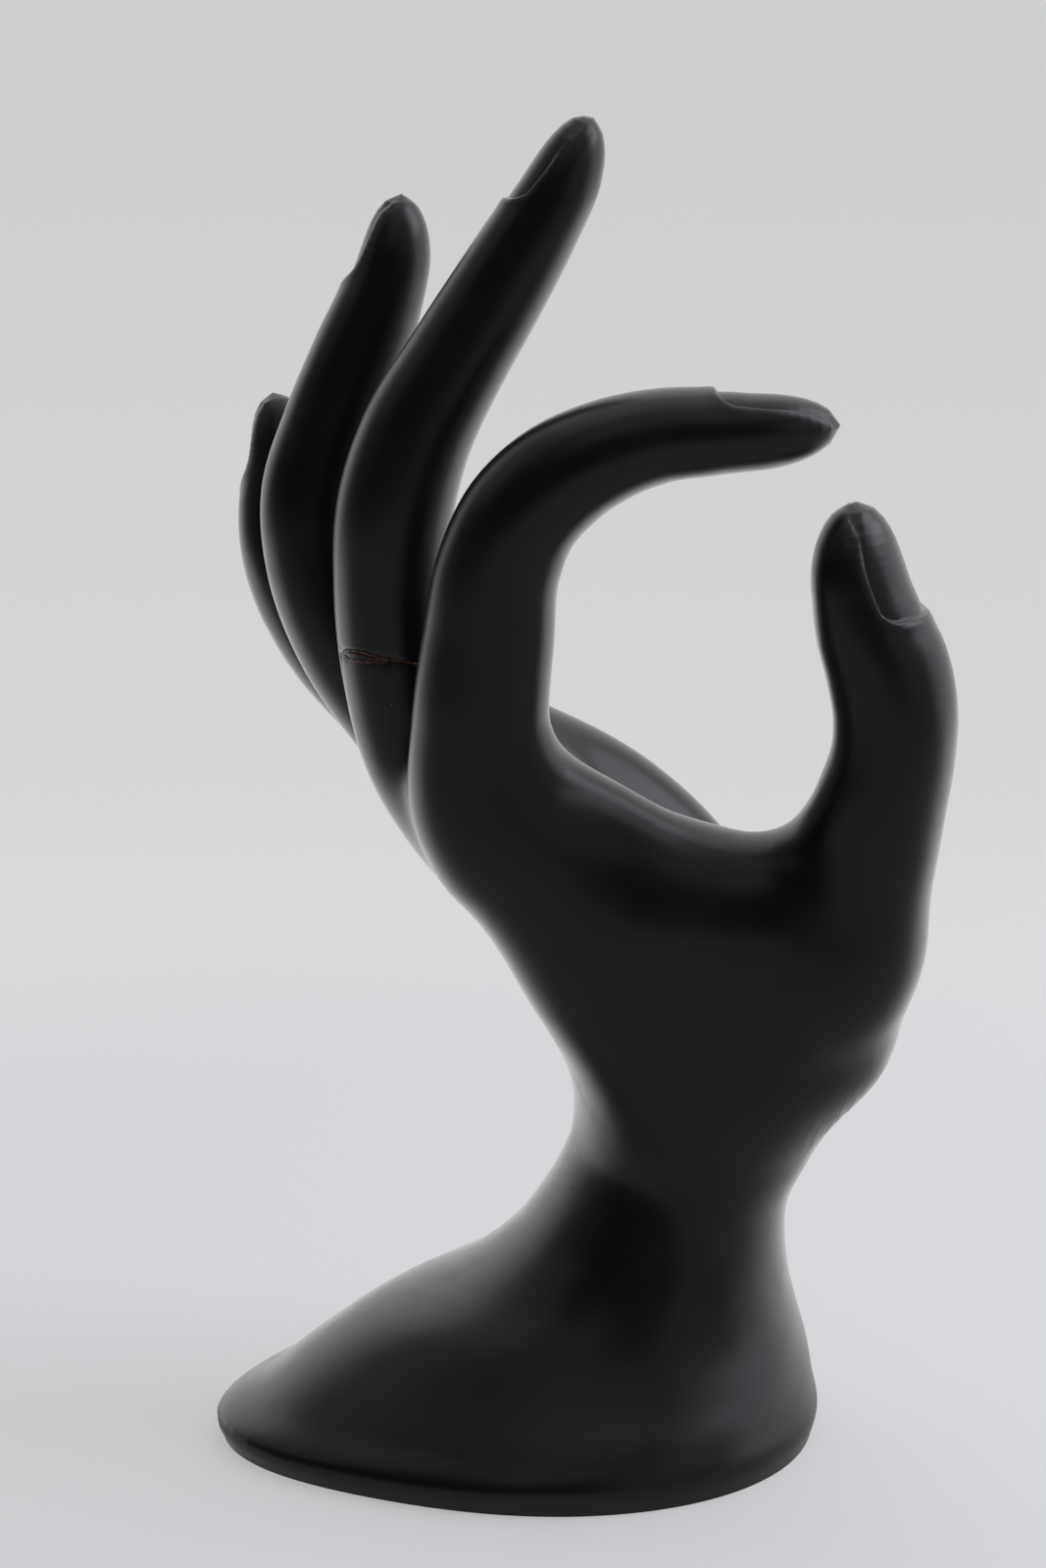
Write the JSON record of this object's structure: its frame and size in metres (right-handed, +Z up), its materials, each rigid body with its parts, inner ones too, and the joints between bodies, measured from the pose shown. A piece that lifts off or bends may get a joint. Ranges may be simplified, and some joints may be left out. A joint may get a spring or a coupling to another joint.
{
  "type": "hand-shaped jewellery stand",
  "caption": "Sculpted hand on a flared foot, with index finger and thumb curled towards an open ring, for displaying rings, bracelets and chains.",
  "frame": {"origin": "centre of the foot's flat sole", "axes": "+Z up along the hand, +X the way the palm faces, -Y the side of the index finger and thumb"},
  "size_m": [0.1138, 0.0827, 0.2082],
  "materials": {
    "black_resin": "satin"
  },
  "bodies": {
    "root": {"hand_stand": "black_resin"}
  },
  "joints": []
}
